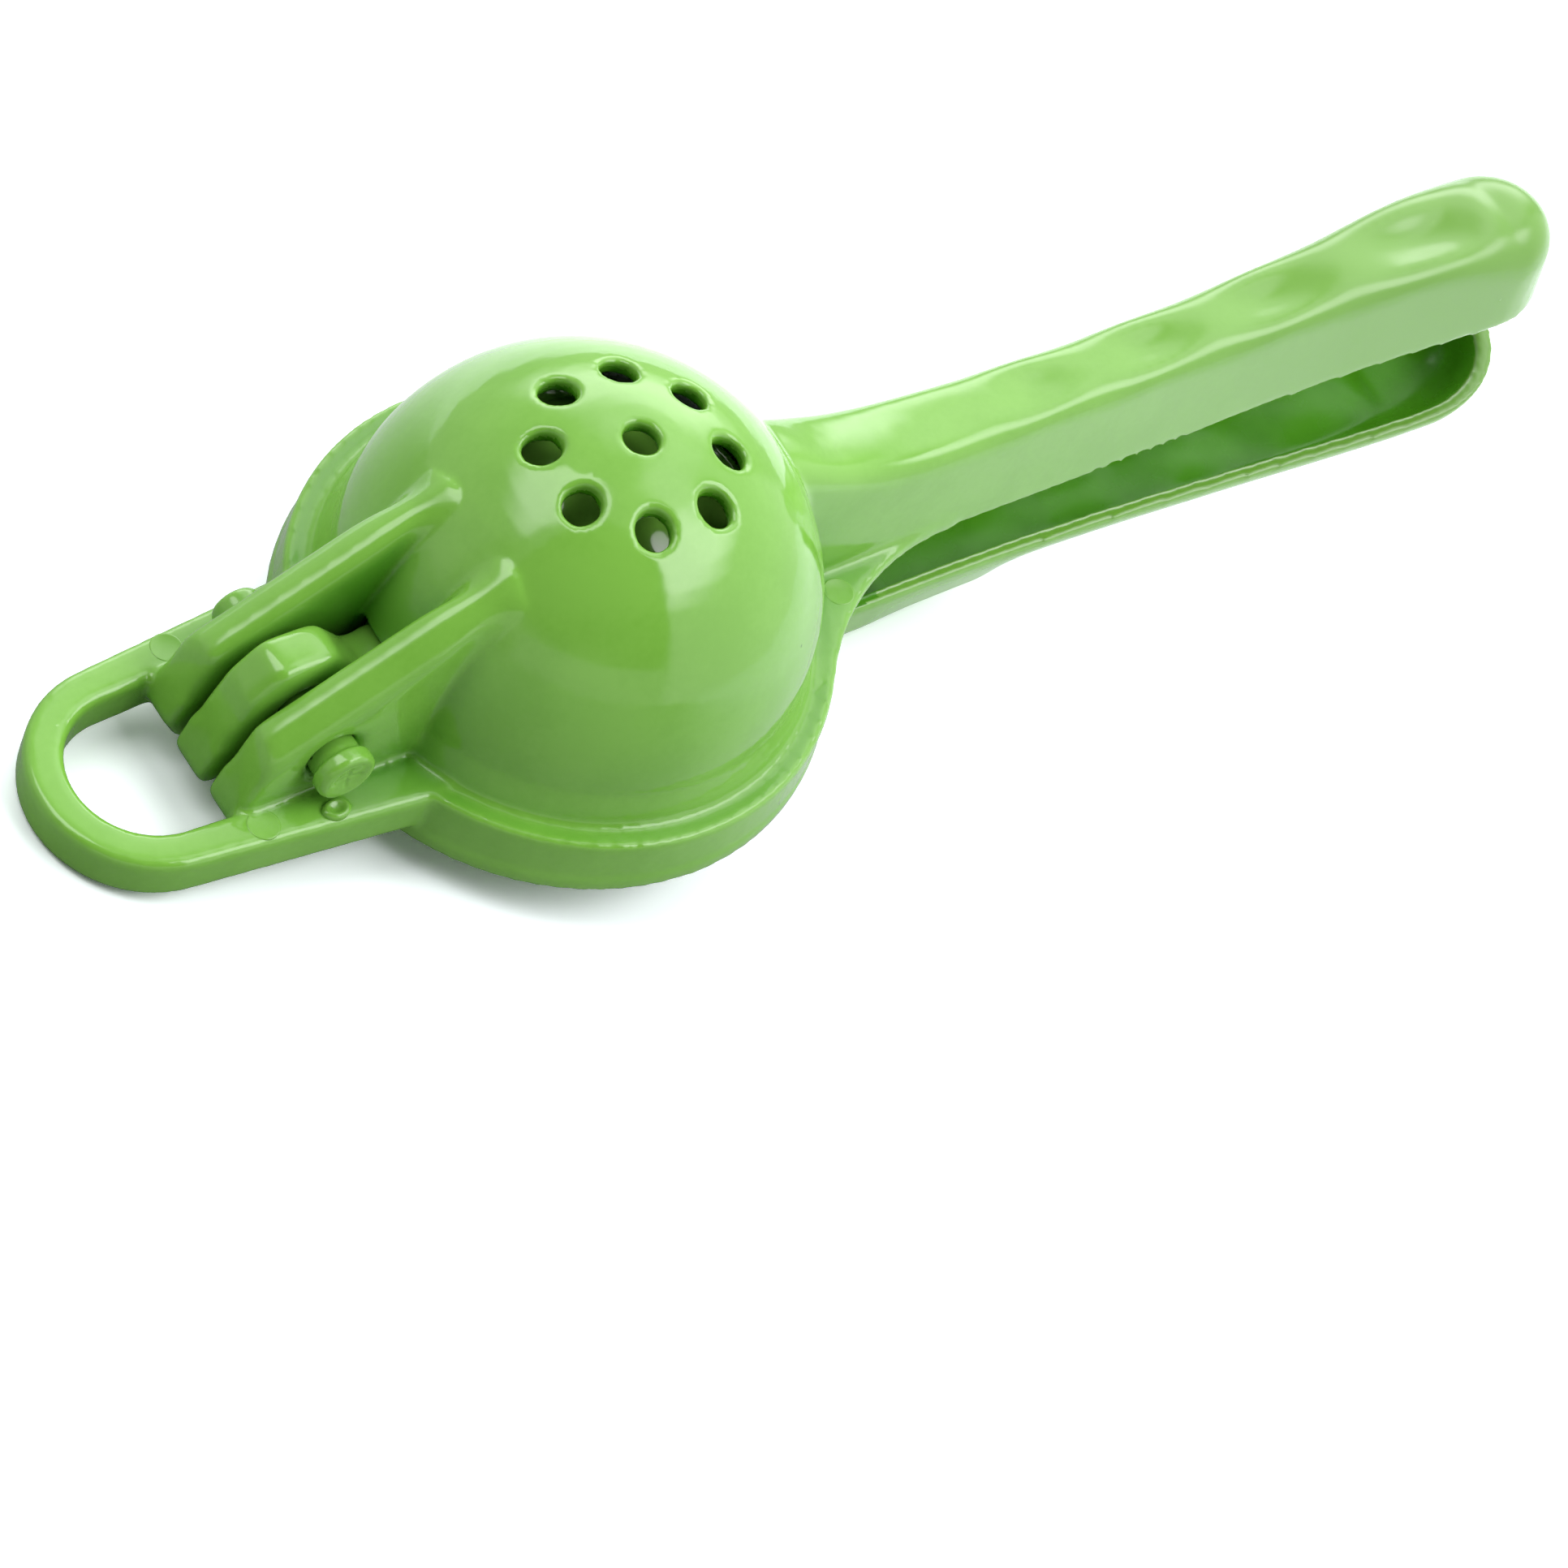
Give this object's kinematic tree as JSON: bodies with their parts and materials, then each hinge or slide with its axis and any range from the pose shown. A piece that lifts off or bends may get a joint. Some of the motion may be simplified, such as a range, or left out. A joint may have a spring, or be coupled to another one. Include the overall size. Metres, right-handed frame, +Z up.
{
  "type": "hinged lemon squeezer",
  "caption": "Two-lever hand press for citrus halves: a drained bowl lever with a hanging loop closes over a domed press lever on a hinge pin.",
  "frame": {"origin": "centre of the footprint of the closed squeezer, on the table", "axes": "+X from the hanging loop to the handle ends, +Z up, +Y to the far side; closed and lying on its loop and on the first grip rib"},
  "size_m": [0.2368, 0.0716, 0.0574],
  "materials": {
    "green_upper": "glossy moulded plastic",
    "green_lower": "glossy moulded plastic",
    "green_pin": "glossy moulded plastic"
  },
  "bodies": {
    "lower_lever": {"press_lever": "green_lower"},
    "upper_lever": {"bowl_lever": "green_upper", "hinge_pin": "green_pin"}
  },
  "joints": [
    {"name": "hinge", "type": "hinge", "parent": "lower_lever", "child": "upper_lever", "pos_m": [-0.08694, 0, 0.01663], "axis": [0, -1, 0], "range_deg": [0, 105]}
  ]
}
